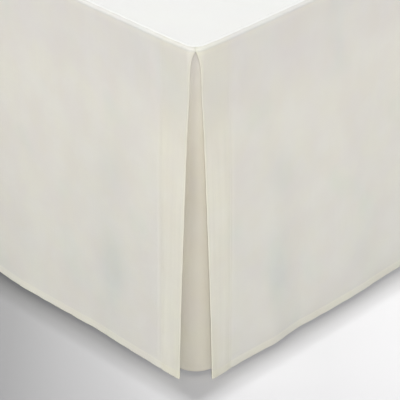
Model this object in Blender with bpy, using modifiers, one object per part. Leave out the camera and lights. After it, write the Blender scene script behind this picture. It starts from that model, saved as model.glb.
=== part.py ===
"""Bed skirt with split foot corners, hanging from a plain bed base on four legs.

The skirt is six pieces of cloth: a deck that lies on the base, a drop at the foot and along
each long side, and an underlay behind each split corner. The head side is open, as it stands
against a wall. Units are metres, +Z is up, the foot faces -Y, and the origin is on the floor
under the middle of the whole object.
"""

import math
from collections import namedtuple

import bmesh
import bpy
from mathutils import Vector

# Bed: a full size base, 54 x 75 in
BED_WIDTH = 1.37
BED_LENGTH = 1.905
BASE_HEIGHT = 0.20
BASE_PLAN_RADIUS = 0.035
BASE_EDGE_RADIUS = 0.015
LEG_HEIGHT = 0.18
LEG_TOP_RADIUS = 0.030
LEG_FOOT_RADIUS = 0.021
LEG_CHAMFER = 0.003
LEG_INSET = 0.13
LEG_SIDES = 24

# Cloth
DROP = 0.381  # 15 in of cloth, from the seam at the deck to the hem
SHEET = 0.0015  # thickness of the drops and the deck
UNDERLAY_SHEET = 0.0012
FIT = 0.0003  # between pieces that touch
SEWN_FIT = 0.00045  # the same between bent edges, which are drawn with points of their own
SIDE_GAP = 0.0045  # from the base's side to the back of a drop
BEND_RADIUS = 0.004  # outer radius where a drop turns down over the edge
SEAM_FLANGE = 0.001  # flat strip of a drop between the deck's edge and the bend
HEAD_INSET = 0.016  # deck and side drops end this far short of the base's head

# Hang of a drop
FLARE = 0.010  # the hem stands this far out from the top of its face
FLARE_GROWTH = 1.5
SWELL_GROWTH = 1.4  # swells grow down the face as this power of the fall
HEM_KICK = 0.0012  # the turned hem lifts out by this
HEM_HEIGHT = 0.012
EDGE_CURL = 0.0008  # a free side edge rolls in by this at the hem
EDGE_CURL_REACH = 0.007
SIDE_HEM_WIDTH = 0.034  # the cloth turned back along a free edge
SIDE_HEM_LIFT = 0.0005  # lifts the face by this
SIDE_HEM_EDGE = 0.2  # share of its width in which the lift ends

# Split corner
SPLIT_OPENING = 0.0245  # from where the faces of two drops would meet to a free edge, at the hem
MITRE = 0.75 * FIT  # the same along the seam, where the two drops meet on the diagonal
TUCK = 0.0055  # the seam pulls the top of each drop in by this at the corner
TUCK_REACH = 0.040
TUCK_POWER = 1.25
TUCK_DEPTH = 0.12  # how far down the tuck reaches
UNDERLAY_HALF_WIDTH = 0.075
UNDERLAY_START = SEAM_FLANGE  # its top edge is this far from the seam
UNDERLAY_SHORTER = 0.0015  # its hem is this much higher than the drops' hem
UNDERLAY_ROUNDING = (0.014, 0.031)  # its corner's reach along each side: top, hem
UNDERLAY_FLARE = 0.001

# Grids
BEND_SEGMENTS = 3
FACE_ROWS = (0.0, 0.03, 0.08, 0.16, 0.27, 0.40, 0.55, 0.70, 0.86)  # shares of the face
EDGE_COLUMNS = (0.0, 0.006, 0.015, 0.028, 0.038, 0.052)  # from a free edge
COLUMN_PITCH = 0.030
TUCK_STEPS = 5  # of the deck's outline along each side of a corner
BASE_CORNER_SEGMENTS = 7
BASE_EDGE_SEGMENTS = 3
UNDERLAY_COLUMNS = (0.0, 0.007, 0.014, 0.021, 0.030, 0.042, 0.058, UNDERLAY_HALF_WIDTH)
SMOOTH_BELOW = math.radians(50)  # edges flatter than this are shaded smooth

BASE_TOP = LEG_HEIGHT + BASE_HEIGHT
CLOTH_TOP = BASE_TOP + FIT + SHEET
FACE_OUT = SIDE_GAP + SHEET  # from the base's side to a drop's outer face
BEND_LENGTH = BEND_RADIUS * math.pi / 2
FACE_START = SEAM_FLANGE + BEND_LENGTH  # from the seam to the top of a drop's upright face
FACE_LENGTH = DROP - FACE_START
SPLIT_START = SEAM_FLANGE + BEND_LENGTH * 0.6  # the drops are sewn together above this
SIDE_X = BED_WIDTH / 2 + FACE_OUT
FOOT_Y = -BED_LENGTH / 2 - FACE_OUT
HEAD_Y = BED_LENGTH / 2 - HEAD_INSET

# Soft swells along a hem: distance from one to the next, how far they stand out, and where
# the first one lies. Each drop has its own, and they don't repeat together.
Swell = namedtuple("Swell", "length depth first")
FOOT_SWELLS = (
    Swell(0.171, 0.0012, 0.088),
    Swell(0.365, 0.0014, 0.240),
    Swell(0.117, 0.0005, 0.150),
)
RIGHT_SWELLS = (
    Swell(0.152, 0.0014, 0.088),
    Swell(0.410, 0.0016, 0.200),
    Swell(0.223, 0.0008, 0.080),
)
LEFT_SWELLS = (
    Swell(0.164, 0.0013, 0.080),
    Swell(0.385, 0.0016, 0.300),
    Swell(0.119, 0.0005, 0.110),
)
CALM_REACH = 0.34  # a split corner's side hems hold the swells back this far

# Soft folds near the first split corner of a drop: distance from the corner, half width, how
# far the hem stands out there, and the share of the face above where it starts.
Fold = namedtuple("Fold", "at width depth start")
FOOT_FOLDS = (
    Fold(0.045, 0.016, 0.0005, 0.5),
    Fold(0.140, 0.020, -0.0012, 0.3),
    Fold(0.208, 0.024, 0.0010, 0.2),
    Fold(0.285, 0.030, -0.0008, 0.1),
)
RIGHT_FOLDS = (
    Fold(0.046, 0.018, -0.0012, 0.5),
    Fold(0.106, 0.018, 0.0018, 0.3),
    Fold(0.145, 0.016, -0.0008, 0.4),
    Fold(0.190, 0.024, 0.0008, 0.2),
    Fold(0.268, 0.030, -0.0014, 0.1),
)
LEFT_FOLDS = (
    Fold(0.060, 0.020, 0.0008, 0.4),
    Fold(0.128, 0.024, -0.0014, 0.2),
    Fold(0.215, 0.026, 0.0012, 0.3),
)

# A drop runs from the corner at start, along and outward being unit vectors. split_end says
# that it ends in a split corner as well.
Drop = namedtuple("Drop", "name start along outward length split_end swells folds")
DROPS = (
    Drop(
        "drop_foot",
        Vector((SIDE_X, FOOT_Y, 0)),
        Vector((-1, 0, 0)),
        Vector((0, -1, 0)),
        2 * SIDE_X,
        True,
        FOOT_SWELLS,
        FOOT_FOLDS,
    ),
    Drop(
        "drop_right",
        Vector((SIDE_X, FOOT_Y, 0)),
        Vector((0, 1, 0)),
        Vector((1, 0, 0)),
        HEAD_Y - FOOT_Y,
        False,
        RIGHT_SWELLS,
        RIGHT_FOLDS,
    ),
    Drop(
        "drop_left",
        Vector((-SIDE_X, FOOT_Y, 0)),
        Vector((0, 1, 0)),
        Vector((-1, 0, 0)),
        HEAD_Y - FOOT_Y,
        False,
        LEFT_SWELLS,
        LEFT_FOLDS,
    ),
)


def clear_scene():
    for old in list(bpy.data.objects):
        bpy.data.objects.remove(old)


def make_material(name, colour, roughness):
    material = bpy.data.materials.new(name)
    material.use_nodes = True
    shader = material.node_tree.nodes["Principled BSDF"]
    shader.inputs["Base Color"].default_value = (*colour, 1.0)
    shader.inputs["Roughness"].default_value = roughness
    shader.inputs["Metallic"].default_value = 0.0
    return material


def add_object(name, data, material, collection):
    data.materials.append(material)
    part = bpy.data.objects.new(name, data)
    collection.objects.link(part)
    return part


# How the cloth hangs. down is measured along the cloth from the seam at the deck.


def fall_of(down):
    """How far a point of a drop hangs below the bend."""
    return max(0.0, down - FACE_START)


def bend_of(down, depth):
    """(inset, height) of a layer that deep where it turns over the base's edge."""
    turn = min(max(down - SEAM_FLANGE, 0.0) / BEND_LENGTH, 1.0) * math.pi / 2
    radius = BEND_RADIUS - depth
    inset = BEND_RADIUS + max(SEAM_FLANGE - down, 0.0) - radius * math.sin(turn)
    height = CLOTH_TOP - BEND_RADIUS + radius * math.cos(turn)
    return inset, height - fall_of(down)


def tuck_at(across, down):
    """How far the seam pulls the cloth in, across being the distance from the corner."""
    reach = min(max((across - TUCK) / TUCK_REACH, 0.0), 1.0)
    left = max(0.0, 1.0 - fall_of(down) / TUCK_DEPTH)
    return TUCK * (1.0 - reach) ** TUCK_POWER * left * left


def flare_at(down):
    """How far the cloth stands out, with the lift of the turned hem."""
    share = fall_of(down) / FACE_LENGTH
    hem = max(0.0, (down - DROP + HEM_HEIGHT) / HEM_HEIGHT)
    return FLARE * (1.0 - (1.0 - share**FLARE_GROWTH) ** 2) + HEM_KICK * hem * hem


def smooth_step(share):
    share = min(max(share, 0.0), 1.0)
    return share * share * (3.0 - 2.0 * share)


def unevenness_at(drop, across, down):
    """The folds and swells that a drop hangs in."""
    share = fall_of(down) / FACE_LENGTH
    from_end = drop.length - across if drop.split_end else drop.length
    waves = sum(
        swell.depth * math.cos(2 * math.pi * (across - swell.first) / swell.length)
        for swell in drop.swells
    )
    out = waves * smooth_step(min(across, from_end) / CALM_REACH) * share**SWELL_GROWTH
    for fold in drop.folds:
        hump = math.exp(-(((across - fold.at) / fold.width) ** 2))
        out += fold.depth * hump * smooth_step((share - fold.start) / (1.0 - fold.start))
    return out


def free_edge_at(from_edge, down):
    """How far out the cloth lies beside a free edge, from its side hem and its curl."""
    share = fall_of(down) / FACE_LENGTH
    lift = SIDE_HEM_LIFT * smooth_step((1.0 - from_edge / SIDE_HEM_WIDTH) / SIDE_HEM_EDGE)
    return (lift - EDGE_CURL * math.exp(-from_edge / EDGE_CURL_REACH)) * share


def corner_of(inset, down):
    """Where two neighbouring layers of that inset would meet, as a distance from the corner."""
    across = inset
    for _ in range(12):
        across = inset + tuck_at(across, down)
    return across


def edge_of(down, depth):
    """Distance from the corner to a drop's free edge: a mitre at the seam, then the split."""
    mitred = corner_of(bend_of(down, depth)[0], down) + MITRE
    share = max(down - SPLIT_START, 0.0) / (DROP - SPLIT_START)
    opening = SPLIT_OPENING * math.sqrt(share) - flare_at(down)
    return max(mitred, corner_of(bend_of(down, 0.0)[0], down) + opening)


def drop_point(drop, share, down, depth):
    """A point of a drop that deep, share being 0 at its first free edge and 1 at its end."""
    inset, height = bend_of(down, depth)
    edge = edge_of(down, depth)
    end = drop.length - edge if drop.split_end else drop.length
    across = edge + share * (end - edge)
    out = flare_at(down) + unevenness_at(drop, across, down) - inset
    out += free_edge_at(across - edge, down) - tuck_at(across, down)
    if drop.split_end:
        out += free_edge_at(end - across, down) - tuck_at(drop.length - across, down)
    return drop.start + drop.along * across + drop.outward * out + Vector((0, 0, height))


def underlay_point(along, down, depth, side):
    """A point of an underlay that deep. along is the distance from its middle, below 0 on the
    foot and above 0 on the side; side is 1 for the right corner and -1 for the left."""
    inset, height = bend_of(down, SHEET + SEWN_FIT + depth)
    share = fall_of(down) / FACE_LENGTH
    middle = corner_of(inset, down)
    top_rounding, hem_rounding = UNDERLAY_ROUNDING
    rounding = top_rounding + (hem_rounding - top_rounding) * share

    def on_leg(distance):
        across = middle + abs(distance)
        out = UNDERLAY_FLARE * share - inset - tuck_at(across, down)
        on_foot = distance < 0
        return Vector((-across, -out) if on_foot else (out, across))

    if abs(along) >= rounding:
        place = on_leg(along)
    else:
        turn = (along + rounding) / (2 * rounding)
        tip = Vector((-middle, middle))
        place = (
            on_leg(-rounding) * (1 - turn) ** 2
            + tip * 2 * turn * (1 - turn)
            + on_leg(rounding) * turn**2
        )
    return Vector((side * (SIDE_X + place.x), FOOT_Y + place.y, height))


def sheet_mesh(name, columns, rows, point_of, thickness):
    """A closed sheet between two grids bent to point_of(column, row, depth), at depth 0 and
    at depth thickness, with its rim bridged."""
    mesh = bpy.data.meshes.new(name)
    sheet = bmesh.new()
    across, along = len(columns) - 1, len(rows) - 1
    for depth in (0.0, thickness):
        grid = bmesh.ops.create_grid(sheet, x_segments=across, y_segments=along, size=0.5)
        for vert in grid["verts"]:
            column = columns[round((vert.co.x + 0.5) * across)]
            row = rows[round((vert.co.y + 0.5) * along)]
            vert.co = point_of(column, row, depth)
    rim = [edge for edge in sheet.edges if edge.is_boundary]
    bmesh.ops.bridge_loops(sheet, edges=rim)
    bmesh.ops.recalc_face_normals(sheet, faces=sheet.faces)
    sheet.to_mesh(mesh)
    sheet.free()
    mesh.shade_smooth()
    mesh.set_sharp_from_angle(angle=SMOOTH_BELOW)
    return mesh


def rows_to(end, start=0.0):
    """Distances from the seam of a grid's rows: the bend, the face and the turned hem."""
    bend = [SEAM_FLANGE + BEND_LENGTH * i / BEND_SEGMENTS for i in range(BEND_SEGMENTS)]
    face = end - HEM_HEIGHT - FACE_START
    rows = [start] + [down for down in bend if down > start]
    rows += [FACE_START + face * share for share in FACE_ROWS]
    return rows + [end - HEM_HEIGHT, end]


def columns_of(drop):
    """Shares of a drop's width at its grid's columns, closest together at a free edge."""
    near = [distance / drop.length for distance in EDGE_COLUMNS]
    last = 1.0 - near[-1] if drop.split_end else 1.0
    count = round((last - near[-1]) * drop.length / COLUMN_PITCH)
    middle = [near[-1] + (last - near[-1]) * i / count for i in range(1, count)]
    far = [1.0 - share for share in reversed(near)] if drop.split_end else [1.0]
    return near + middle + far


def make_drop(drop, material, collection):
    mesh = sheet_mesh(
        drop.name,
        columns_of(drop),
        rows_to(DROP),
        lambda share, down, depth: drop_point(drop, share, down, depth),
        SHEET,
    )
    return add_object(drop.name, mesh, material, collection)


def make_underlay(name, side, material, collection):
    columns = [-distance for distance in reversed(UNDERLAY_COLUMNS[1:])]
    mesh = sheet_mesh(
        name,
        columns + list(UNDERLAY_COLUMNS),
        rows_to(DROP - UNDERLAY_SHORTER, UNDERLAY_START),
        lambda along, down, depth: underlay_point(along, down, depth, side),
        UNDERLAY_SHEET,
    )
    return add_object(name, mesh, material, collection)


def deck_outline():
    """The deck's outline, seen from above. Its foot corners follow the tuck of the drops."""
    edge = BEND_RADIUS + SEAM_FLANGE + SEWN_FIT
    tip = corner_of(edge, 0.0)
    reach = TUCK + TUCK_REACH
    corner = [tip + (reach - tip) * i / TUCK_STEPS for i in range(TUCK_STEPS + 1)]
    on_foot = [(SIDE_X - a, FOOT_Y + edge + tuck_at(a, 0.0)) for a in reversed(corner)]
    on_side = [(SIDE_X - edge - tuck_at(a, 0.0), FOOT_Y + a) for a in corner[1:]]
    right = on_foot + on_side + [(SIDE_X - edge, HEAD_Y)]
    return right + [(-x, y) for x, y in reversed(right)]


def make_deck(material, collection):
    curve = bpy.data.curves.new("deck_panel", "CURVE")
    curve.dimensions = "2D"
    curve.fill_mode = "BOTH"
    curve.extrude = SHEET / 2
    outline = deck_outline()
    spline = curve.splines.new("POLY")
    spline.points.add(len(outline) - 1)
    for point, (x, y) in zip(spline.points, outline):
        point.co = (x, y, 0, 1)
    spline.use_cyclic_u = True
    part = add_object("deck_panel", curve, material, collection)
    part.location.z = BASE_TOP + FIT + SHEET / 2
    return part


def make_base(material, collection):
    mesh = bpy.data.meshes.new("bed_base")
    box = bmesh.new()
    bmesh.ops.create_cube(box, size=1.0)
    bmesh.ops.scale(box, vec=(BED_WIDTH, BED_LENGTH, BASE_HEIGHT), verts=box.verts)
    upright = [e for e in box.edges if abs(e.verts[0].co.z - e.verts[1].co.z) > 0]
    bmesh.ops.bevel(
        box,
        geom=upright,
        offset=BASE_PLAN_RADIUS,
        segments=BASE_CORNER_SEGMENTS,
        profile=0.5,
        affect="EDGES",
    )
    box.to_mesh(mesh)
    box.free()
    part = add_object("bed_base", mesh, material, collection)
    part.location.z = LEG_HEIGHT + BASE_HEIGHT / 2
    rounding = part.modifiers.new("edge rounding", "BEVEL")
    rounding.width = BASE_EDGE_RADIUS
    rounding.segments = BASE_EDGE_SEGMENTS
    rounding.limit_method = "ANGLE"
    rounding.angle_limit = math.radians(60)
    return part


def leg_profile():
    top = LEG_HEIGHT - FIT
    return [
        (0, 0, top),
        (LEG_TOP_RADIUS, 0, top),
        (LEG_FOOT_RADIUS, 0, LEG_CHAMFER),
        (LEG_FOOT_RADIUS - LEG_CHAMFER, 0, 0),
        (0, 0, 0),
    ]


def make_leg(name, x, y, material, collection):
    profile = leg_profile()
    mesh = bpy.data.meshes.new(name)
    mesh.from_pydata(profile, [(i, i + 1) for i in range(len(profile) - 1)], [])
    part = add_object(name, mesh, material, collection)
    part.location = (x, y, 0)
    turn = part.modifiers.new("turning", "SCREW")
    turn.steps = LEG_SIDES
    turn.render_steps = LEG_SIDES
    turn.use_merge_vertices = True
    turn.merge_threshold = 0.0001
    return part


def make_legs(material, collection):
    legs = []
    for end, y in (("foot", -BED_LENGTH / 2 + LEG_INSET), ("head", BED_LENGTH / 2 - LEG_INSET)):
        for hand, x in (("left", -BED_WIDTH / 2 + LEG_INSET), ("right", BED_WIDTH / 2 - LEG_INSET)):
            legs.append(make_leg(f"leg_{end}_{hand}", x, y, material, collection))
    return legs


def centre_on_origin(parts, collection):
    """Carries the parts on an empty that puts the middle of their bounds over the origin."""
    holder = bpy.data.objects.new("bed_skirt_origin", None)
    collection.objects.link(holder)
    for part in parts:
        part.parent = holder
    bpy.context.view_layer.update()
    graph = bpy.context.evaluated_depsgraph_get()
    low, high = [math.inf] * 2, [-math.inf] * 2
    for part in parts:
        evaluated = part.evaluated_get(graph)
        for vertex in evaluated.to_mesh().vertices:
            place = evaluated.matrix_world @ vertex.co
            for axis in range(2):
                low[axis] = min(low[axis], place[axis])
                high[axis] = max(high[axis], place[axis])
        evaluated.to_mesh_clear()
    holder.location = (-(low[0] + high[0]) / 2, -(low[1] + high[1]) / 2, 0)


def main():
    clear_scene()
    collection = bpy.data.collections.new("bed_skirt")
    bpy.context.scene.collection.children.link(collection)
    cream = make_material("skirt_cloth", (0.80, 0.77, 0.70), 0.85)
    shaded_cream = make_material("underlay_cloth", (0.76, 0.72, 0.63), 0.88)
    white = make_material("deck_cloth", (0.90, 0.90, 0.88), 0.80)
    ticking = make_material("base_fabric", (0.62, 0.61, 0.59), 0.90)
    wood = make_material("leg_wood", (0.45, 0.32, 0.20), 0.55)

    parts = [make_base(ticking, collection), make_deck(white, collection)]
    parts += make_legs(wood, collection)
    parts += [make_drop(drop, cream, collection) for drop in DROPS]
    for hand, side in (("right", 1), ("left", -1)):
        parts.append(make_underlay(f"pleat_underlay_{hand}", side, shaded_cream, collection))
    centre_on_origin(parts, collection)


main()
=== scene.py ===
"""Looks of a bed skirt with split foot corners on a plain bed base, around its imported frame.

Units are metres in the frame's axes: +Z up, the foot faces -Y, and the corner seen in the main
view is at +X, -Y. Every cloth piece is a closed thin sheet in the folds of its solid.
"""

import math
from collections import namedtuple

import bmesh
import bpy
import numpy as np
from mathutils import Matrix, Vector


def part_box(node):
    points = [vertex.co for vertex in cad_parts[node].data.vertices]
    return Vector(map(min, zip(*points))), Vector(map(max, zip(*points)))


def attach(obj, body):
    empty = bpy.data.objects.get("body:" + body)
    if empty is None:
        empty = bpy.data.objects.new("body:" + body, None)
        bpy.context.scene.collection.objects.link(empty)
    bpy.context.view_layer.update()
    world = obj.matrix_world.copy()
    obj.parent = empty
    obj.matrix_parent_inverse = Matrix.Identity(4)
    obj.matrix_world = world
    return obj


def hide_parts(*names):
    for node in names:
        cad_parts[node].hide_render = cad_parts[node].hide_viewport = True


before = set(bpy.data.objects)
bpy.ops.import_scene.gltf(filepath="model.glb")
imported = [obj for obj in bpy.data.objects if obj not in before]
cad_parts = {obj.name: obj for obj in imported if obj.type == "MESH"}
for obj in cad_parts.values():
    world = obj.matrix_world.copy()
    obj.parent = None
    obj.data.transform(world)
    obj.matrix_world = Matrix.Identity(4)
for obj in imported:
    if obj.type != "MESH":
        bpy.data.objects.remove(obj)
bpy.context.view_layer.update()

BASE_LOW, BASE_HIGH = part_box("bed_base")
DECK_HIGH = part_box("deck_panel")[1]
FOOT_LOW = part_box("drop_foot")[0]

# Cloth, in the sizes of its solids
FACE_OUT = 0.006  # from the base's side to a drop's outer face
BEND_RADIUS = 0.003
SEAM_FLANGE = 0.0003  # flat strip of a drop between the deck and the bend
RIGHT_X = BASE_HIGH.x + FACE_OUT
LEFT_X = BASE_LOW.x - FACE_OUT
FOOT_Y = BASE_LOW.y - FACE_OUT
HEAD_Y = DECK_HIGH.y
CLOTH_TOP = DECK_HIGH.z
BEND_LENGTH = BEND_RADIUS * math.pi / 2
FACE_START = SEAM_FLANGE + BEND_LENGTH  # from the seam to the top of the upright face
FACE_LENGTH = CLOTH_TOP - BEND_RADIUS - FOOT_LOW.z
DROP = FACE_START + FACE_LENGTH  # from the seam to the hem
SPLIT_START = SEAM_FLANGE + 1.35 * BEND_LENGTH  # the split opens just below the bend

FLARE = 0.010  # how far the hem stands out
FLARE_GROWTH = 1.5
SWELL_GROWTH = 1.4
HEM_KICK = 0.0012  # and the last of it a little more
HEM_HEIGHT = 0.012
EDGE_CURL = 0.0008  # a free edge curls in
EDGE_CURL_REACH = 0.007
SIDE_HEM_TOP = 0.040  # width of the hem along a free edge
SIDE_HEM_FOOT = 0.027
SIDE_HEM_LIFT = 0.0005
SIDE_HEM_EDGE = 0.2  # share of its width over which it lifts
SPLIT_OPENING = 0.0245  # on each side of a split corner, at the hem
TUCK = 0.0018  # the seam pulls the cloth in at a corner
TUCK_REACH = 0.040
TUCK_POWER = 1.25
TUCK_DEPTH = 0.12
CALM_REACH = 0.34  # a drop swells less, the nearer it is to a split corner
SOLVING_STEPS = 12  # the meeting of two faces is found in so many repeats
UNDERLAY_BEHIND = 0.00195  # from a drop's outer face to the underlay's
UNDERLAY_HALF_WIDTH = 0.075
UNDERLAY_SHORTER = 0.0015
UNDERLAY_ROUNDING = (0.019, 0.031)  # reach of its bend round the corner, at the seam and the hem
UNDERLAY_FLARE = 0.001

# Finer sizes, which the solids leave out
CORNER_ROUND = 0.012  # above the split the cloth runs round the corner in a bend this wide
CORNER_ROUND_DEPTH = 1.14  # meets its neighbour without a crease, given the tuck's slope
CORNER_ROUND_REACH = 0.05  # fades out this far below the split's start
MITRE = 0.00002  # half the hairline between two drops above the split
THIN = 0.0008  # one layer of cloth
TURNED = 0.0015  # where a hem is turned back
HEM_TURN = 0.009  # width of the turned bottom hem
TURN_SOFTNESS = 0.0012  # over which one layer becomes two
SIDE_TURN_SOFTNESS = 0.0022
TURN_RIDGE = 0.00013  # the turned edge shows through by this
SEAM_RIDGE = 0.0003  # the seam allowance lifts the deck's edge
SEAM_RIDGE_AT = 0.0012
SEAM_RIDGE_WIDTH = 0.0014

Swell = namedtuple("Swell", "length depth first")
Fold = namedtuple("Fold", "at width depth start")
# A soft dent in the face: distance from the corner and from the seam, half width and half
# height, depth (a ridge is above 0), and how far it leans away from the corner per metre down.
Dent = namedtuple("Dent", "at down width height depth lean")
# Slight unevenness all over: wave lengths across and down, phase and height.
Ripple = namedtuple("Ripple", "across down phase height")
# A drop hangs from start along the deck's edge; split_end is true if its far end is free too.
Drop = namedtuple("Drop", "name start along outward length split_end swells folds dents")

RIPPLE_RISE = 5  # full height after 1/5 of the fall
RIPPLES = (
    Ripple(0.083, 0.310, 0.3, 0.00009),
    Ripple(0.127, -0.260, 1.9, 0.00010),
    Ripple(0.046, 0.195, 4.1, 0.00003),
    Ripple(0.058, -0.230, 2.6, 0.00004),
    Ripple(0.034, -0.061, 5.2, 0.00002),
)
SEAM_PUCKERS = (
    Ripple(0.0213, 1.0, 0.4, 0.00012),
    Ripple(0.0137, 1.0, 2.2, 0.00008),
    Ripple(0.0061, 1.0, 1.1, 0.00003),
)
SEAM_PUCKER_DEPTH = 0.022
SEAM_PUCKER_EDGE = 0.02  # they fade towards a free edge
HEM_PUCKERS = (
    Ripple(0.0291, 1.0, 1.3, 0.00016),
    Ripple(0.0174, 1.0, 0.2, 0.00010),
    Ripple(0.0083, 1.0, 3.7, 0.00004),
)
HEM_PUCKER_DEPTH = 0.016
SIDE_RISE = 3  # and these after 1/3 of it
SIDE_PUCKERS = (
    Ripple(1.0, 0.043, 0.9, 0.00012),
    Ripple(1.0, 0.0261, 2.8, 0.00007),
)

CORNER_DENTS = (
    Dent(0.060, 0.045, 0.0050, 0.028, 0.00050, 0.02),
    Dent(0.028, 0.060, 0.016, 0.032, -0.0002, 0.10),
)
FOOT_DENTS = CORNER_DENTS + (
    Dent(0.050, 0.035, 0.050, 0.032, -0.00035, 0.00),
    Dent(0.114, 0.292, 0.017, 0.040, -0.00110, 0.00),
    Dent(0.117, 0.175, 0.018, 0.026, -0.00045, 0.00),
    Dent(0.248, 0.325, 0.022, 0.040, -0.00030, -0.20),
    Dent(0.092, 0.322, 0.014, 0.030, 0.00030, 0.10),
    Dent(0.176, 0.250, 0.024, 0.060, 0.00030, 0.10),
    Dent(0.070, 0.110, 0.016, 0.050, 0.00025, 0.05),
)
RIGHT_DENTS = CORNER_DENTS + (
    Dent(0.110, 0.290, 0.017, 0.040, -0.00110, 0.05),
    Dent(0.117, 0.178, 0.018, 0.024, -0.00045, 0.00),
    Dent(0.248, 0.327, 0.022, 0.040, -0.00025, 0.20),
    Dent(0.088, 0.318, 0.013, 0.030, 0.00030, 0.00),
    Dent(0.160, 0.300, 0.020, 0.050, 0.00030, 0.10),
    Dent(0.200, 0.180, 0.024, 0.050, 0.00025, -0.10),
)
LEFT_DENTS = CORNER_DENTS + (
    Dent(0.140, 0.290, 0.020, 0.040, -0.00060, 0.10),
    Dent(0.470, 0.240, 0.030, 0.060, -0.00060, 0.05),
)

FOOT_SWELLS = (
    Swell(0.171, 0.0012, 0.088),
    Swell(0.365, 0.0014, 0.240),
    Swell(0.117, 0.0005, 0.150),
)
RIGHT_SWELLS = (
    Swell(0.152, 0.0014, 0.088),
    Swell(0.410, 0.0016, 0.200),
    Swell(0.223, 0.0008, 0.080),
)
LEFT_SWELLS = (
    Swell(0.164, 0.0013, 0.080),
    Swell(0.385, 0.0016, 0.300),
    Swell(0.119, 0.0005, 0.110),
)
FOOT_FOLDS = (
    Fold(0.045, 0.016, 0.0005, 0.5),
    Fold(0.140, 0.020, -0.0012, 0.3),
    Fold(0.208, 0.024, 0.0010, 0.2),
    Fold(0.285, 0.030, -0.0008, 0.1),
)
RIGHT_FOLDS = (
    Fold(0.046, 0.018, -0.0003, 0.5),
    Fold(0.106, 0.018, 0.0018, 0.3),
    Fold(0.145, 0.016, -0.0008, 0.4),
    Fold(0.190, 0.024, 0.0008, 0.2),
    Fold(0.268, 0.030, -0.0014, 0.1),
)
LEFT_FOLDS = (
    Fold(0.060, 0.020, 0.0008, 0.4),
    Fold(0.128, 0.024, -0.0014, 0.2),
    Fold(0.215, 0.026, 0.0012, 0.3),
)
ACROSS_BED = np.array((1.0, 0.0, 0.0))
ALONG_BED = np.array((0.0, 1.0, 0.0))
UP = np.array((0.0, 0.0, 1.0))
RIGHT_CORNER = np.array((RIGHT_X, FOOT_Y, 0.0))
LEFT_CORNER = np.array((LEFT_X, FOOT_Y, 0.0))
BED_WIDTH = RIGHT_X - LEFT_X
BED_LENGTH = HEAD_Y - FOOT_Y
FOOT_FORM = (FOOT_SWELLS, FOOT_FOLDS, FOOT_DENTS)
RIGHT_FORM = (RIGHT_SWELLS, RIGHT_FOLDS, RIGHT_DENTS)
LEFT_FORM = (LEFT_SWELLS, LEFT_FOLDS, LEFT_DENTS)
DROPS = (
    Drop("drop_foot", RIGHT_CORNER, -ACROSS_BED, -ALONG_BED, BED_WIDTH, True, *FOOT_FORM),
    Drop("drop_right", RIGHT_CORNER, ALONG_BED, ACROSS_BED, BED_LENGTH, False, *RIGHT_FORM),
    Drop("drop_left", LEFT_CORNER, ALONG_BED, -ACROSS_BED, BED_LENGTH, False, *LEFT_FORM),
)

# Grids: (distance, pitch up to it) from a free edge or from the seam
EDGE_PITCHES = ((0.004, 0.001), (0.030, 0.0026), (0.038, 0.001), (0.36, 0.0042))
FAR_PITCH = 0.009
BEND_ROWS = 9
FACE_PITCH = 0.005
HEM_PITCH = 0.001
RIM_STEPS = 3
RIM = TURNED / 2  # a rounded rim reaches this far past the last row or column
RIM_STARTS_OVER = 0.004  # below the mitre, where two drops meet flat
SEAM_BULGE = 0.6  # share of a half round by which the edges at the deck's seam bulge

# What the UV maps carry to the materials
DENT_SHADE_DEPTH = 0.0008  # a dent this deep looks as dark as dents get
FOOT_LESS_LOW_SHADE = 0.5  # this share less of the painted shade and dust low down on the foot drop, away from its split corners
FOOT_LESS_LOW_SHADE_FROM = 0.11
FOOT_LESS_LOW_SHADE_OVER = 0.15


# How the cloth hangs. down is measured along the cloth from the seam at the deck, and across
# from the corner where a drop starts.


def smooth_step(share):
    share = np.clip(share, 0.0, 1.0)
    return share * share * (3.0 - 2.0 * share)


def bell(distance, width):
    return np.exp(-((distance / width) ** 2))


def ripple_at(ripples, across, down):
    return sum(
        wave.height * np.sin(2 * math.pi * (across / wave.across + down / wave.down) + wave.phase)
        for wave in ripples
    )


def fall_share(down):
    return np.maximum(0.0, down - FACE_START) / FACE_LENGTH


def turn_of(down):
    """Angle through which the cloth has turned down over the base's edge."""
    return np.clip((down - SEAM_FLANGE) / BEND_LENGTH, 0.0, 1.0) * math.pi / 2


def bend_of(down, depth):
    """(inset, height) of a layer that deep."""
    radius = BEND_RADIUS - depth
    turn = turn_of(down)
    inset = BEND_RADIUS + np.maximum(SEAM_FLANGE - down, 0.0) - radius * np.sin(turn)
    height = CLOTH_TOP - BEND_RADIUS + radius * np.cos(turn)
    return inset, height - fall_share(down) * FACE_LENGTH


def tuck_at(across, down):
    """How far the seam pulls the cloth in at a corner."""
    reach = np.clip((across - TUCK) / TUCK_REACH, 0.0, 1.0)
    left = np.maximum(0.0, 1.0 - fall_share(down) * FACE_LENGTH / TUCK_DEPTH)
    return TUCK * (1.0 - reach) ** TUCK_POWER * left * left


def flare_at(down):
    share = fall_share(down)
    hem = np.maximum(0.0, (down - DROP + HEM_HEIGHT) / HEM_HEIGHT)
    return FLARE * (1.0 - (1.0 - share**FLARE_GROWTH) ** 2) + HEM_KICK * hem * hem


def unevenness_at(drop, across, down):
    """The swells and folds of a drop's solid."""
    share = fall_share(down)
    from_end = drop.length - across if drop.split_end else drop.length
    waves = sum(
        swell.depth * np.cos(2 * math.pi * (across - swell.first) / swell.length)
        for swell in drop.swells
    )
    calm = smooth_step(np.minimum(across, from_end) / CALM_REACH)
    out = waves * calm * share**SWELL_GROWTH
    for fold in drop.folds:
        rise = smooth_step((share - fold.start) / (1.0 - fold.start))
        out = out + fold.depth * bell(across - fold.at, fold.width) * rise
    return out


def side_hem_at(down):
    """Width of the hem along a free edge, which narrows downwards."""
    return SIDE_HEM_TOP + (SIDE_HEM_FOOT - SIDE_HEM_TOP) * fall_share(down)


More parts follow.
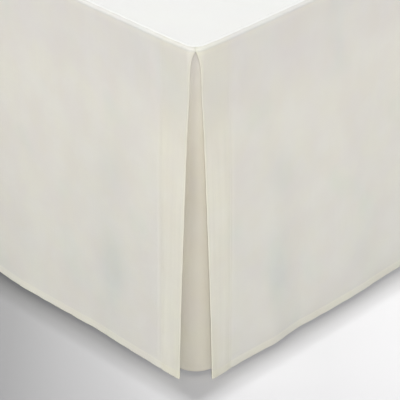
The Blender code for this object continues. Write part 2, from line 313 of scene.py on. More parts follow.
def free_edge_at(from_edge, down):
    """The lift of a side hem and the curl of its edge."""
    lift = SIDE_HEM_LIFT * smooth_step((1.0 - from_edge / side_hem_at(down)) / SIDE_HEM_EDGE)
    curl = EDGE_CURL * np.exp(-np.maximum(from_edge, 0.0) / EDGE_CURL_REACH)
    return (lift - curl) * fall_share(down)


def corner_of(inset, down):
    """Where two neighbouring faces of that inset would meet in a sharp corner."""
    across = inset
    for _ in range(SOLVING_STEPS):
        across = inset + tuck_at(across, down)
    return across


def rounding_at(beyond_corner, down):
    """How far the cloth keeps inside that sharp corner."""
    left = np.maximum(0.0, CORNER_ROUND - beyond_corner)
    fade = 1.0 - smooth_step((down - SPLIT_START) / CORNER_ROUND_REACH)
    return fade * CORNER_ROUND_DEPTH * left * left / (2 * CORNER_ROUND)


def pull_at(across, inset, down):
    return tuck_at(across, down) + rounding_at(across - corner_of(inset, down), down)


def mitre_of(inset, down):
    """Where two neighbouring faces meet in the rounded corner."""
    across = corner_of(inset, down)
    for _ in range(SOLVING_STEPS):
        across = (across + inset + pull_at(across, inset, down)) / 2
    return across


def edge_of(down, depth):
    """Distance from the corner to a drop's free edge: a mitre at the seam, then the split."""
    mitred = mitre_of(bend_of(down, depth)[0], down) + MITRE
    share = np.maximum(down - SPLIT_START, 0.0) / (DROP - SPLIT_START)
    opening = SPLIT_OPENING * np.sqrt(share) - flare_at(down)
    return np.maximum(mitred, mitre_of(bend_of(down, 0.0)[0], down) + opening)


def relief_at(drop, across, from_edge, down):
    """Everything finer than the solid's own folds, outward from the cloth."""
    share = fall_share(down)
    out = ripple_at(RIPPLES, across, down) * smooth_step(share * RIPPLE_RISE)
    seam = np.clip(1.0 - down / SEAM_PUCKER_DEPTH, 0.0, 1.0)
    inner = smooth_step(from_edge / SEAM_PUCKER_EDGE)
    out = out + ripple_at(SEAM_PUCKERS, across, down) * seam * inner
    from_hem = DROP - down
    hem = np.clip(1.0 - from_hem / HEM_PUCKER_DEPTH, 0.0, 1.0)
    out = out + ripple_at(HEM_PUCKERS, across, down) * hem
    out = out + TURN_RIDGE * bell(from_hem - HEM_TURN, TURN_SOFTNESS)
    width = side_hem_at(down)
    rise = smooth_step(share * SIDE_RISE)
    side = bell(from_edge - width, SIDE_TURN_SOFTNESS) * rise
    out = out - 2 * TURN_RIDGE * side
    near_side = np.clip(1.0 - from_edge / width, 0.0, 1.0) * rise
    out = out + ripple_at(SIDE_PUCKERS, across, down) * near_side
    return out + dents_at(drop, across, down)


def dents_at(drop, across, down):
    out = 0.0 * across
    for dent in drop.dents:
        aside = across - dent.at - dent.lean * (down - dent.down)
        out = out + dent.depth * bell(aside, dent.width) * bell(down - dent.down, dent.height)
    return out


def drop_place(drop, across, down, depth):
    """Points of a drop's cloth."""
    inset, height = bend_of(down, depth)
    edge = edge_of(down, 0.0)
    from_edge = across - edge
    out = flare_at(down) + unevenness_at(drop, across, down) - inset
    out = out + free_edge_at(from_edge, down) - pull_at(across, inset, down)
    if drop.split_end:
        mirrored = drop.length - across
        out = out + free_edge_at(mirrored - edge, down) - pull_at(mirrored, inset, down)
        from_edge = np.minimum(from_edge, mirrored - edge)
    relief = relief_at(drop, across, from_edge, down)
    turn = turn_of(down)
    out = out + relief * np.sin(turn)
    height = height + relief * np.cos(turn)
    place = drop.start + across[..., None] * drop.along + out[..., None] * drop.outward
    return place + height[..., None] * UP


def underlay_place(along, down, depth, side):
    """Points of the underlay behind a split corner. along is the distance from its middle,
    below 0 on the foot and above 0 on the side; side is 1 at the right and -1 at the left."""
    inset, height = bend_of(down, UNDERLAY_BEHIND + depth)
    share = fall_share(down)
    middle = corner_of(inset, down)
    rounding = UNDERLAY_ROUNDING[0] + (UNDERLAY_ROUNDING[1] - UNDERLAY_ROUNDING[0]) * share

    def leg_out(distance):
        across = middle + distance
        return across, UNDERLAY_FLARE * share - inset - tuck_at(across, down)

    across, out = leg_out(np.abs(along))
    on_foot = along < 0
    x = np.where(on_foot, -across, out)
    y = np.where(on_foot, -out, across)
    bend_across, bend_out = leg_out(rounding)
    turn = np.clip((along + rounding) / (2 * rounding), 0.0, 1.0)
    first, last = (1 - turn) ** 2, turn**2
    tip = 2 * turn * (1 - turn)
    rounded = np.abs(along) < rounding
    x = np.where(rounded, -first * bend_across - tip * middle + last * bend_out, x)
    y = np.where(rounded, -first * bend_out + tip * middle + last * bend_across, y)
    from_hem = DROP - UNDERLAY_SHORTER - down
    turned = TURN_RIDGE * bell(from_hem - HEM_TURN, TURN_SOFTNESS)
    relief = ripple_at(SIDE_PUCKERS, along, down) * share + turned
    corner_x = RIGHT_X if side > 0 else -LEFT_X
    outward = np.where(on_foot, 0.0, 1.0)
    x = x + relief * outward
    y = y - relief * (1.0 - outward)
    return np.stack((side * (corner_x + x), FOOT_Y + y, height), axis=-1)


# Grids and meshes


def steps_to(end, pitches, last_pitch):
    """Distances from 0 to end, at the pitch of each stretch."""
    stops = [0.0]
    for reach, pitch in (*pitches, (end, last_pitch)):
        stretch = min(reach, end) - stops[-1]
        if stretch <= 0:
            continue
        count = max(1, round(stretch / pitch))
        stops += [stops[-1] + stretch * i / count for i in range(1, count + 1)]
    return np.array(stops)


def shares_of(drop):
    """Shares of a drop's width at its columns, closest together at a free edge."""
    if not drop.split_end:
        return steps_to(drop.length, EDGE_PITCHES, FAR_PITCH) / drop.length
    half = steps_to(drop.length / 2, EDGE_PITCHES, FAR_PITCH) / drop.length
    return np.concatenate((half, 1.0 - half[-2::-1]))


def rows_of(end, start=0.0):
    bend = np.linspace(start, FACE_START, BEND_ROWS + 1)
    hem = np.linspace(end - HEM_HEIGHT, end, round(HEM_HEIGHT / HEM_PITCH) + 1)
    count = round((hem[0] - FACE_START) / FACE_PITCH)
    face = np.linspace(FACE_START, hem[0], count + 1)
    return np.concatenate((bend, face[1:-1], hem))


def thickness_of(from_edge, side_hem, from_hem):
    """One layer, or two where a hem is turned back."""
    side = smooth_step((side_hem - from_edge) / TURN_SOFTNESS)
    hem = smooth_step((HEM_TURN - from_hem) / TURN_SOFTNESS)
    return THIN + (TURNED - THIN) * np.maximum(side, hem)


def unit(vectors):
    return vectors / np.maximum(np.linalg.norm(vectors, axis=-1, keepdims=True), 1e-12)


def set_uv(mesh, name, values):
    corners = np.empty(len(mesh.loops), np.int32)
    mesh.loops.foreach_get("vertex_index", corners)
    layer = mesh.uv_layers.new(name=name)
    layer.data.foreach_set("uv", values[corners].astype(np.float32).ravel())


def grid_faces(index):
    corners = (index[:-1, :-1], index[1:, :-1], index[1:, 1:], index[:-1, 1:])
    return np.stack(corners, axis=-1).reshape(-1, 4)


def rim_of(grid):
    """The outermost entries of a grid of rows and columns, in order round it."""
    return np.concatenate((grid[0, :-1], grid[:-1, -1], grid[-1, :0:-1], grid[:0:-1, 0]))


def closed_sheet(name, outer, inner, bulge, maps, material):
    """One closed mesh from a cloth's two faces, each a grid of points, and a rounded rim.
    bulge is 0 where an edge meets its neighbour flat; maps are UV maps by name, each the two
    values on the grid."""
    rows, columns = outer.shape[:2]
    index = np.arange(rows * columns).reshape(rows, columns)
    faces = [grid_faces(index), grid_faces(index + rows * columns)[:, ::-1]]
    points = [outer.reshape(-1, 3), inner.reshape(-1, 3)]

    away = np.zeros_like(outer)
    away[0] += unit(outer[0] - outer[1])
    away[-1] += unit(outer[-1] - outer[-2])
    away[:, 0] += unit(outer[:, 0] - outer[:, 1])
    away[:, -1] += unit(outer[:, -1] - outer[:, -2])
    rim = rim_of(index)
    away = unit(away.reshape(-1, 3)[rim])
    top, bottom = points[0][rim], points[1][rim]
    middle = (top + bottom) / 2
    reach = np.linalg.norm(top - bottom, axis=1) / 2 * bulge.reshape(-1)[rim]
    rings = [rim]
    for step in range(1, RIM_STEPS + 1):
        turn = math.pi * step / (RIM_STEPS + 1)
        bulged = away * (reach * math.sin(turn))[:, None]
        points.append(middle + (top - middle) * math.cos(turn) + bulged)
        rings.append(2 * rows * columns + (step - 1) * len(rim) + np.arange(len(rim)))
    rings.append(rim + rows * columns)
    for first, second in zip(rings, rings[1:]):
        faces.append(np.stack((first, np.roll(first, -1), np.roll(second, -1), second), axis=-1))
    points, faces = np.concatenate(points), np.concatenate(faces)

    mesh = bpy.data.meshes.new(name)
    mesh.from_pydata(points.tolist(), [], outward_faces(points, faces).tolist())
    for label, pair in maps.items():
        flat = np.stack(pair, axis=-1).reshape(-1, 2)
        set_uv(mesh, label, np.concatenate((flat, flat, *[flat[rim]] * RIM_STEPS)))
    mesh.shade_smooth()
    mesh.materials.append(material)
    return add_piece(name, mesh)


def outward_faces(points, faces):
    """The faces, turned round if they point inwards."""
    a, b, c, d = (points[faces[:, i]] for i in range(4))
    volume = (np.cross(a, b) * c).sum() + (np.cross(a, c) * d).sum()
    return faces if volume > 0 else faces[:, ::-1]


def add_piece(name, mesh):
    piece = bpy.data.objects.new(name, mesh)
    bpy.context.scene.collection.objects.link(piece)
    return piece


def dress(piece, slot, *nodes):
    """Puts a piece on the frame, in place of those nodes."""
    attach(piece, "root")
    if nodes:
        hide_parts(*nodes)
    return piece


# Sewing

STITCH_PITCH = 0.0034
STITCH_LENGTH = 0.0027
STITCH_LENGTHS = (0.9, 1.05)  # the shortest and the longest, as shares of it
STITCH_RADIUS = 0.00022
STITCH_FULLNESS = 1.05  # square of the share of that radius in the middle
STITCH_TAPER = 0.75  # what that square loses towards the ends
STITCH_BOW = 0.00026  # from the middle down to the ends, which go into the cloth
STITCH_MIDDLE = 0.35  # share of the bow by which the middle stands out of the cloth
STITCH_SIDES = 6
STITCH_RINGS = (-1.0, -0.75, 0.0, 0.75, 1.0)
STITCH_JITTER = 0.00016
STITCH_TILT = 0.03
STITCHES_START = 0.004  # from a free edge
HEM_STITCHES_IN = 0.001  # from the turned edge of the bottom hem
SIDE_STITCHES_IN = 0.002
SEAM_STITCHES_START = 0.003
SEAM_STITCHES_END = 0.002
SEAM_STITCHES_AT = -0.0036  # on the deck, beside the seam


def stitch_mesh(name, runs, material, seed):
    """Every stitch of some runs as one mesh. A run is (places, headings, normals)."""
    places, headings, normals = (np.concatenate(part) for part in zip(*runs))
    random = np.random.default_rng(seed)
    count = len(places)
    aside = np.cross(normals, headings)
    places = places + aside * random.normal(0.0, STITCH_JITTER / 2, (count, 1))
    headings = unit(headings + aside * random.normal(0.0, STITCH_TILT, (count, 1)))
    length = STITCH_LENGTH / 2 * random.uniform(*STITCH_LENGTHS, (count, 1))
    rings = []
    for ring in STITCH_RINGS:
        rise = STITCH_MIDDLE - ring * ring
        centre = places + headings * length * ring + normals * STITCH_BOW * rise
        radius = STITCH_RADIUS * math.sqrt(STITCH_FULLNESS - STITCH_TAPER * ring * ring)
        for side in range(STITCH_SIDES):
            turn = 2 * math.pi * side / STITCH_SIDES
            rings.append(centre + radius * (math.cos(turn) * normals + math.sin(turn) * aside))
    points = np.stack(rings, axis=1).reshape(-1, 3)
    size = len(rings)
    faces = []
    for ring in range(len(STITCH_RINGS) - 1):
        for side in range(STITCH_SIDES):
            a = ring * STITCH_SIDES + side
            b = ring * STITCH_SIDES + (side + 1) % STITCH_SIDES
            faces.append((a, a + STITCH_SIDES, b + STITCH_SIDES, b))
    start = np.arange(count)[:, None, None] * size
    sides = (np.array(faces)[None] + start).reshape(-1, 4).tolist()
    first = (np.arange(STITCH_SIDES)[None, None] + start).reshape(-1, STITCH_SIDES).tolist()
    last_ring = np.arange(size - 1, size - 1 - STITCH_SIDES, -1)
    last = (last_ring[None, None] + start).reshape(-1, STITCH_SIDES).tolist()
    mesh = bpy.data.meshes.new(name)
    mesh.from_pydata(points.tolist(), [], sides + first + last)
    mesh.shade_smooth()
    mesh.materials.append(material)
    return add_piece(name, mesh)


def run_along(place_of, positions):
    """(places, headings, normals) at positions, from place_of(position, aside)."""
    nudge = 0.0004
    places = place_of(positions, 0.0)
    headings = unit(place_of(positions + nudge, 0.0) - place_of(positions - nudge, 0.0))
    aside = unit(place_of(positions, nudge) - place_of(positions, -nudge))
    normals = unit(np.cross(aside, headings))
    return places, headings, normals


def facing(run, outward):
    """The run with its normals turned to the cloth's outside."""
    places, headings, normals = run
    flip = np.sign(normals @ outward)[:, None]
    return places, headings, normals * np.where(flip == 0, 1.0, flip)


def level_run(drop, positions, down, outward):
    """Stitches across a drop, at one distance from the seam."""

    def place_of(across, aside):
        return drop_place(drop, across, np.full_like(across, down + aside), 0.0)

    return facing(run_along(place_of, positions), outward)


def hem_run(drop):
    opening = SPLIT_OPENING if drop.split_end else 0.0
    end = drop.length - opening - STITCHES_START
    positions = np.arange(SPLIT_OPENING + STITCHES_START, end, STITCH_PITCH)
    return level_run(drop, positions, DROP - HEM_TURN + HEM_STITCHES_IN, drop.outward)


def side_run(drop, mirrored):
    positions = np.arange(FACE_START, DROP - HEM_TURN, STITCH_PITCH)

    def place_of(down, aside):
        across = edge_of(down, 0.0) + side_hem_at(down) - SIDE_STITCHES_IN + aside
        return drop_place(drop, drop.length - across if mirrored else across, down, 0.0)

    return facing(run_along(place_of, positions), drop.outward)


def seam_run(drop):
    corner = float(mitre_of(np.array(BEND_RADIUS + SEAM_FLANGE), np.array(0.0)))
    start = corner + SEAM_STITCHES_START
    end = drop.length - start if drop.split_end else drop.length - SEAM_STITCHES_END
    return level_run(drop, np.arange(start, end, STITCH_PITCH), SEAM_STITCHES_AT, UP)


# Materials

CREAM = (0.800, 0.772, 0.705)
# painted shade: the drops' cream made darker and yellower for the underlay in the split
SHADED_CREAM = (0.788, 0.738, 0.630)
WHITE = (0.877, 0.880, 0.861)
TICKING = (0.62, 0.61, 0.59)
WOOD = (0.45, 0.32, 0.20)
WOOD_SHADES = (0.62, 1.15, 0.5)  # shares of it beside the grain, on it and in the pores
CREAM_THREAD = 0.97  # shares of the cloth's colour
SEAM_THREAD = 0.84
THREAD_SHADES = (0.93, 1.03)

# Tints, multiplied into a cloth's colour
COOLER = (0.960, 0.994, 0.984)
YELLOWER = (1.0, 1.0, 0.966)
# painted shade in the weave's hollows between threads
THREAD_HOLLOW_SHADE = (0.93, 0.93, 0.93)
DOUBLE_CLOTH = (1.0, 0.998, 0.955)  # two layers let less light through and look warmer
HEM_PAINTED_LIGHT = (1.055, 1.055, 1.055)  # painted light: they are painted paler than the single cloth
PRESSED_LINE = (0.980, 0.979, 0.974)
EDGE_PAINTED_SHADE = (0.945, 0.945, 0.915)  # painted shade on the free edges, and more of it near them low down
# painted shade in the dents, darker and cooler
DENT_SHADE = (0.922, 0.960, 0.968)
# painted shade and dust, greying the cloth towards the floor
SHADE_AND_DUST_LOW = (0.838, 0.850, 0.868)
UNDER_SEAM_PAINTED_SHADE = (0.962, 0.958, 0.985)  # painted shade: the panels are a little darker below the seam
BEND_PAINTED_SHADE = (0.905, 0.925, 0.975)  # painted shade on the bend over the base's edge, beside the seam
# painted shade on the underlay's strip that shows
UNDERLAY_PAINTED_SHADE = (0.75, 0.745, 0.74)
COOL_SHADE = (0.98, 1.0, 1.07)

# Where they reach, from none to all of a tint
SIDE_HEM_FADE = (1.16, 0.84)  # widths of the side hem
SIDE_HEM_WANDER = 0.20  # its inner edge wanders by so much of its width
HEM_FADE = 0.0008
HEM_LIGHT_FROM_SEAM = (0.07, 0.13)
LINE_FROM_HEM = (0.0, 0.05)
LINE_WIDTH = (0.06, 0.0)  # widths of the side hem
LINE_STREAKS = (0.35, 0.6)
EDGE_SHADE_RIM = (0.10, 0.0)  # widths of the side hem
EDGE_SHADE_LOW_WIDTH = (0.50, 0.05)
EDGE_SHADE_LOW = (0.11, 0.03)
UNDER_SEAM_FADE = (0.105, 0.045)
UNDER_SEAM_START = 0.008
BEND_PAINTED_SHADE_FADE = (0.0068, 0.8 * FACE_START)
LOW_SHADE_FADE = (0.34, -0.08)
LOW_SHADE_RISE = -0.05
LOW_SHADE_WANDER = 0.10

CLOTH_THREADS = 0.00052  # from thread to thread
DECK_THREADS = 0.00045
BASE_THREADS = 0.0009
THREAD_WANDER = 1.6  # in threads
WEAVE_BUMP = 0.35
WEAVE_DEPTH = 0.3  # in threads
SLUB_HEIGHT = 0.6  # share of the weave's
SLUB_SHOWS = 0.5
MOTTLE = 0.02
MOTTLE_SHARES = (0.7, 1.2, 0.8)  # of the mottle in red, green and blue
SLUB = 0.02
DECK_LOOK = (0.006, 0.01)  # mottle and slub
BASE_LOOK = (0.03, 0.05)
# Roughness: its spread with the noise, and its lowest value
CLOTH_ROUGHNESS = (0.1, 0.81)
THREAD_ROUGHNESS = (0.1, 0.55)
WOOD_ROUGHNESS = (0.2, 0.36)
FLOOR_ROUGHNESS = 0.9

# Noise on a surface's metres, and the values between which its ramp rises
Noise = namedtuple("Noise", "stretch scale detail roughness low high")
CLOUDS = Noise((1.0, 0.8, 1.0), 24.0, 3.0, 0.5, 0.32, 0.68)
COOL_PATCHES = Noise((1.0, 0.75, 1.0), 19.0, 2.0, 0.4, 0.55, 0.74)
YELLOW_PATCHES = Noise((1.0, 0.9, 1.0), 31.0, 3.0, 0.5, 0.35, 0.65)
SLUBS_ACROSS = Noise((22.0, 900.0, 1.0), 1.0, 2.0, 0.5, 0.42, 0.78)
SLUBS_DOWN = Noise((900.0, 16.0, 1.0), 1.0, 2.0, 0.5, 0.45, 0.80)
HEM_STREAKS = Noise((170.0, 7.0, 1.0), 1.0, 2.0, 0.5, 0.1, 0.8)
GRAIN = Noise((120.0, 120.0, 5.0), 1.0, 6.0, 0.6, 0.3, 0.7)
PORES = Noise((900.0, 900.0, 22.0), 1.0, 2.0, 0.5, 0.62, 0.75)
PORE_DEPTH = (0.6, 0.8)
DRIFT_SCALE = 60.0
LOW_SHADE_SCALE = 17.0
TWIST_SCALE = 2500.0

# Sockets of nodes, by number
MIX_FIRST, MIX_SECOND, MIX_RESULT = 6, 7, 2
OBJECT_PLACE = 3
DOT_VALUE = 1


class Graph:
    """Adds nodes to a material, each fed with the values or sockets given to it."""

    def __init__(self, name):
        self.material = bpy.data.materials.new(name)
        self.material.use_nodes = True
        self.tree = self.material.node_tree
        self.shader = self.tree.nodes["Principled BSDF"]

    def add(self, kind, inputs, output=0, **settings):
        """Adds a node, its inputs fed by name or number, and gives that output of it."""
        node = self.tree.nodes.new(kind)
        for key, value in settings.items():
            setattr(node, key, value)
        for slot, value in inputs.items():
            self.feed(node.inputs[slot], value)
        return node.outputs[output]

    def feed(self, socket, value):
        if isinstance(value, bpy.types.NodeSocket):
            self.tree.links.new(value, socket)
        elif socket.type == "RGBA":
            socket.default_value = (*value, 1.0)
        else:
            socket.default_value = value

    def math(self, operation, *values):
        return self.add("ShaderNodeMath", dict(enumerate(values)), operation=operation)

    def product(self, first, *others):
        for other in others:
            first = self.math("MULTIPLY", first, other)
        return first

    def ramp(self, value, low, high):
        """0 at low, 1 at high, smooth between them."""
        inputs = dict(enumerate((value, low, high, 0.0, 1.0)))
        return self.add("ShaderNodeMapRange", inputs, interpolation_type="SMOOTHSTEP")

    def mix(self, share, first, second, blend="MIX"):
        inputs = {"Factor": share, MIX_FIRST: first, MIX_SECOND: second}
        return self.add("ShaderNodeMix", inputs, MIX_RESULT, data_type="RGBA", blend_type=blend)

    def tinted(self, tone, share, tint):
        """The tone with that share of a tint."""
        return self.mix(share, tone, tint, "MULTIPLY")

    def noise(self, vector, scale, detail=2.0, roughness=0.5):
        inputs = {"Vector": vector, "Scale": scale, "Detail": detail, "Roughness": roughness}
        return self.add("ShaderNodeTexNoise", inputs)

    def stretched_noise(self, vector, noise):
        inputs = {0: vector, 1: noise.stretch}
        stretched = self.add("ShaderNodeVectorMath", inputs, operation="MULTIPLY")
        return self.noise(stretched, noise.scale, noise.detail, noise.roughness)

    def patches(self, vector, noise):
        return self.ramp(self.stretched_noise(vector, noise), noise.low, noise.high)

    def uv(self, name):
        return self.add("ShaderNodeUVMap", {}, uv_map=name)

    def place(self):
        """The point in its piece's own metres."""
        return self.add("ShaderNodeTexCoord", {}, OBJECT_PLACE)

    def split(self, vector):
        node = self.tree.nodes.new("ShaderNodeSeparateXYZ")
        self.feed(node.inputs[0], vector)
        return node.outputs[0], node.outputs[1]

    def bump(self, height, strength, distance):
        inputs = {"Height": height, "Strength": strength, "Distance": distance}
        self.feed(self.shader.inputs["Normal"], self.add("ShaderNodeBump", inputs))

    def finish(self, colour, roughness, **fixed):
        self.feed(self.shader.inputs["Base Color"], colour)
        self.feed(self.shader.inputs["Roughness"], roughness)
        for name, value in fixed.items():
            self.shader.inputs[name.replace("_", " ")].default_value = value
        return self.material


def scaled(colour, *factors):
    if len(factors) == 1:
        factors *= 3
    return tuple(c * f for c, f in zip(colour, factors))


def weave(graph, flat, pitch):
    """Height of a plain weave: at each crossing, the thread on top is rounded across itself."""
    drift = graph.noise(flat, DRIFT_SCALE, detail=1.0)
    wander = pitch * THREAD_WANDER
    along, down = graph.split(flat)
    along = graph.math("MULTIPLY_ADD", drift, wander, along)
    down = graph.math("MULTIPLY_ADD", drift, -wander, down)
    warp = graph.math("COSINE", graph.product(along, math.pi / pitch))
    weft = graph.math("COSINE", graph.product(down, math.pi / pitch))
    warp_on_top = graph.math("GREATER_THAN", graph.product(warp, weft), 0.0)
    warp, weft = graph.math("ABSOLUTE", warp), graph.math("ABSOLUTE", weft)
    lift = graph.math("SUBTRACT", warp, weft)
    return graph.math("MULTIPLY_ADD", lift, warp_on_top, weft)


def mottled(graph, colour, flat, clouds, mottle):
    """Soft clouds of lighter and darker tone, with cooler and yellower patches."""
    darker, lighter = (
        scaled(colour, *(1 + way * share * mottle for share in MOTTLE_SHARES)) for way in (-1, 1)
    )
    tone = graph.mix(graph.ramp(clouds, CLOUDS.low, CLOUDS.high), darker, lighter)
    for noise, tint in ((COOL_PATCHES, COOLER), (YELLOW_PATCHES, YELLOWER)):
        tone = graph.tinted(tone, graph.product(graph.patches(flat, noise), mottle / MOTTLE), tint)
    return tone


def cloth_material(name, colour, pitch, mottle=MOTTLE, slub=SLUB):
    """Woven cloth on the UV map "cloth", its flat metres: (graph, tone, roughness)."""
    graph = Graph(name)
    flat = graph.uv("cloth")
    clouds = graph.stretched_noise(flat, CLOUDS)
    tone = mottled(graph, colour, flat, clouds, mottle)
    # Slubs are thicker stretches of single threads
    slubs = graph.math("ADD", graph.patches(flat, SLUBS_ACROSS), graph.patches(flat, SLUBS_DOWN))
    tone = graph.mix(graph.product(slubs, SLUB_SHOWS), tone, scaled(colour, 1 - slub))
    height = weave(graph, flat, pitch)
    tone = graph.tinted(tone, graph.math("SUBTRACT", 1.0, height), THREAD_HOLLOW_SHADE)
    height = graph.math("MULTIPLY_ADD", slubs, SLUB_HEIGHT, height)
    graph.bump(height, WEAVE_BUMP, pitch * WEAVE_DEPTH)
    return graph, tone, graph.math("MULTIPLY_ADD", clouds, *CLOTH_ROUGHNESS)


def finish_cloth(graph, tone, roughness):
    return graph.finish(
        tone,
        roughness,
        Sheen_Weight=0.25,
        Sheen_Roughness=0.5,
        Sheen_Tint=(1.0, 0.98, 0.94, 1.0),
        Specular_IOR_Level=0.25,
    )


def doubled(graph, tone, side, hem, light):
    """Hems are two layers of cloth, and four where they cross, warmer and with painted light."""
    tone = graph.tinted(tone, graph.math("MAXIMUM", side, hem), DOUBLE_CLOTH)
    tone = graph.tinted(tone, graph.math("MAXIMUM", light, hem), HEM_PAINTED_LIGHT)
    return graph.tinted(tone, graph.product(side, hem), DOUBLE_CLOTH)


# Painted shade on the free edges' rims, and more of it near them low down.
def painted_edge_shade(graph, tone, from_edge, from_hem):
    low = graph.product(graph.ramp(from_edge, *EDGE_SHADE_LOW_WIDTH), graph.ramp(from_hem, *EDGE_SHADE_LOW))
    return graph.tinted(tone, graph.math("MAXIMUM", low, graph.ramp(from_edge, *EDGE_SHADE_RIM)), EDGE_PAINTED_SHADE)


def pressed_line(graph, tone, from_edge, streaks, shown):
    """The turned edge of the side hem shows as a broken line."""
    aside = graph.math("ABSOLUTE", graph.math("SUBTRACT", from_edge, 1.0))
    line = graph.product(graph.ramp(aside, *LINE_WIDTH), graph.ramp(streaks, *LINE_STREAKS))
    return graph.tinted(tone, graph.product(line, shown), PRESSED_LINE)


def ramp_down(graph, from_hem, start, end):
    """0 to 1 between two distances from the seam."""
    return graph.ramp(from_hem, DROP - start, DROP - end)


# Painted shade below the seam, and on the bend over the base's edge.
def painted_shade_at_seam(graph, tone, from_hem):
    below_bend = ramp_down(graph, from_hem, FACE_START, FACE_START + UNDER_SEAM_START)
    under_seam = graph.product(ramp_down(graph, from_hem, *UNDER_SEAM_FADE), below_bend)
    tone = graph.tinted(tone, under_seam, UNDER_SEAM_PAINTED_SHADE)
    return graph.tinted(tone, ramp_down(graph, from_hem, *BEND_PAINTED_SHADE_FADE), BEND_PAINTED_SHADE)


def shaded_and_dusty_low(graph, tone, from_hem, less_low_shade=0.0):
    """Painted shade and dust: the cloth greys slowly towards the floor, less by the given share."""
    painted_shade = graph.noise(graph.uv("cloth"), LOW_SHADE_SCALE, detail=4.0)
    rise = graph.math("MULTIPLY_ADD", painted_shade, LOW_SHADE_WANDER, graph.math("ADD", from_hem, LOW_SHADE_RISE))
    low_shade = graph.product(graph.ramp(rise, *LOW_SHADE_FADE), graph.math("SUBTRACT", 1.0, less_low_shade))
    return graph.tinted(tone, low_shade, SHADE_AND_DUST_LOW)


def skirt_material():
    """The drops' cloth, with its hems. The UV map "finish" holds the distance from a free edge in widths
    of its hem, and from the bottom hem; "relief" holds how deep a dent is and how much less of the
    painted shade and dust low down the cloth has."""
    graph, tone, roughness = cloth_material("skirt_cloth_weave", CREAM, CLOTH_THREADS)
    from_edge, from_hem = graph.split(graph.uv("finish"))
    dent, less_low_shade = graph.split(graph.uv("relief"))
    streaks = graph.stretched_noise(graph.uv("cloth"), HEM_STREAKS)
    centred = graph.math("SUBTRACT", from_edge, SIDE_HEM_WANDER / 2)
    side = graph.ramp(graph.math("MULTIPLY_ADD", streaks, SIDE_HEM_WANDER, centred), *SIDE_HEM_FADE)
    hem = graph.ramp(from_hem, HEM_TURN + HEM_FADE, HEM_TURN - HEM_FADE)
    high = ramp_down(graph, from_hem, *HEM_LIGHT_FROM_SEAM)
    # painted light on the side hem, from a little below the seam down
    light = graph.product(side, high, graph.ramp(streaks, HEM_STREAKS.low, HEM_STREAKS.high))
    tone = doubled(graph, tone, side, hem, light)
    tone = painted_edge_shade(graph, tone, from_edge, from_hem)
    shown = graph.product(high, graph.ramp(from_hem, *LINE_FROM_HEM))
    tone = pressed_line(graph, tone, from_edge, streaks, shown)
    tone = painted_shade_at_seam(graph, tone, from_hem)
    tone = graph.tinted(tone, graph.math("MINIMUM", dent, 1.0), DENT_SHADE)
    tone = shaded_and_dusty_low(graph, tone, from_hem, less_low_shade)
    return finish_cloth(graph, tone, roughness)


def underlay_material():
    """The underlays' cloth, with painted shade. The UV map "relief" holds the painted shade on it and
    how cool its top is.
    """
    graph, tone, roughness = cloth_material("underlay_cloth_weave", SHADED_CREAM, CLOTH_THREADS)
    tone = shaded_and_dusty_low(graph, tone, graph.split(graph.uv("finish"))[1])
    painted_shade, cool = graph.split(graph.uv("relief"))
    tone = graph.tinted(tone, painted_shade, UNDERLAY_PAINTED_SHADE)
    tone = graph.tinted(tone, cool, COOL_SHADE)
    return finish_cloth(graph, tone, roughness)


def thread_material(name, colour):
    graph = Graph(name)
    twist = graph.noise(graph.place(), TWIST_SCALE, detail=1.0)
    tone = graph.mix(twist, *(scaled(colour, share) for share in THREAD_SHADES))
    graph.bump(twist, strength=0.4, distance=0.00005)
    return graph.finish(tone, graph.math("MULTIPLY_ADD", twist, *THREAD_ROUGHNESS), Sheen_Weight=0.2)


def wood_material():
    graph = Graph("leg_wood_grain")
    place = graph.place()
    grain = graph.stretched_noise(place, GRAIN)
    pores = graph.stretched_noise(place, PORES)
    dark, light, pore = (scaled(WOOD, share) for share in WOOD_SHADES)
    tone = graph.mix(graph.ramp(grain, GRAIN.low, GRAIN.high), dark, light)
    tone = graph.mix(graph.ramp(pores, PORES.low, PORES.high), tone, pore)
    height = graph.math("SUBTRACT", grain, graph.ramp(pores, *PORE_DEPTH))
    graph.bump(height, strength=0.2, distance=0.0003)
    rough = graph.math("MULTIPLY_ADD", grain, *WOOD_ROUGHNESS)
    return graph.finish(tone, rough, Coat_Weight=0.25, Coat_Roughness=0.3)


# Pieces


def make_drop(drop, material, cut_at):
    """One drop, cut from the bolt at that length along it."""
    shares = shares_of(drop)[None, :]
    down = rows_of(DROP - RIM)[:, None] + 0.0 * shares
    bulge = smooth_step((down - SPLIT_START) / RIM_STARTS_OVER)

    def across_at(depth):
        edge = edge_of(down, depth) + RIM * bulge
        end = drop.length - edge if drop.split_end else drop.length
        return edge + shares * (end - edge)

    across = across_at(np.zeros_like(down))
    edge = edge_of(down, 0.0)
    from_edge = across - edge
    if drop.split_end:
        from_edge = np.minimum(from_edge, drop.length - edge - across)
    from_hem = DROP - down
    width = side_hem_at(down)
    thickness = thickness_of(from_edge, width, from_hem)
    shade = np.maximum(-dents_at(drop, across, down), 0.0) / DENT_SHADE_DEPTH
    # less of the painted shade and dust low down on the foot drop, away from its split corners
    less_low_shade = 0.0 * across
    if drop.split_end:
        from_corner = np.minimum(across, drop.length - across)
        less_low_shade = FOOT_LESS_LOW_SHADE * smooth_step((from_corner - FOOT_LESS_LOW_SHADE_FROM) / FOOT_LESS_LOW_SHADE_OVER)
    bulge[0] = SEAM_BULGE
    return closed_sheet(
        drop.name + "_cloth",
        drop_place(drop, across, down, np.zeros_like(down)),
        drop_place(drop, across_at(thickness), down, thickness),
        bulge,
        {
            "cloth": (across + cut_at, down),
            "finish": (from_edge / width, from_hem),
            "relief": (shade, less_low_shade),
        },
        material,
    )


